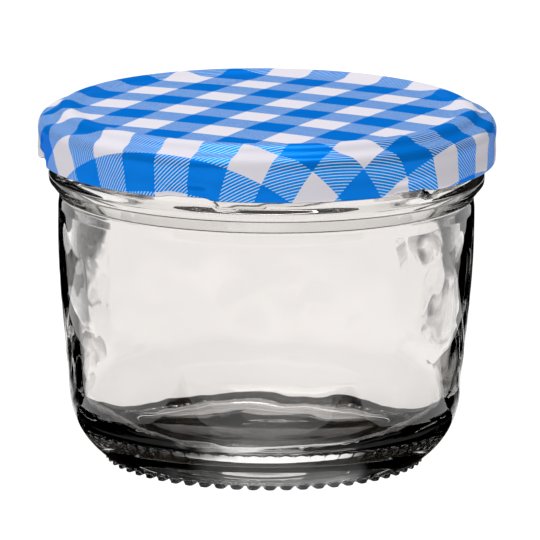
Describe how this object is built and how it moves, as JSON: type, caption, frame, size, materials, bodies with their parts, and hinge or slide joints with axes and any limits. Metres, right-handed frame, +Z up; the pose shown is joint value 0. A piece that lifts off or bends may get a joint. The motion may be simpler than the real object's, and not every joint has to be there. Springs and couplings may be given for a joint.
{
  "type": "preserving jar",
  "caption": "Low, wide clear glass jar for preserves with a rounded heel, a knurled bearing ring and a carrying bead, empty, closed by a twist-off metal lid printed in blue and white gingham.",
  "frame": {"origin": "on the jar's axis, on the surface that the jar stands on", "axes": "+Z up along the jar's axis, -Y towards the front as pictured, +X to the right seen from the front"},
  "size_m": [0.086, 0.086, 0.067],
  "materials": {
    "clear_glass": "clear, polished, slightly wavy inside",
    "printed_tinplate": "gloss varnish over a blue and white check print"
  },
  "bodies": {
    "root": {"glass_jar": "clear_glass", "lid": "printed_tinplate"}
  },
  "joints": []
}
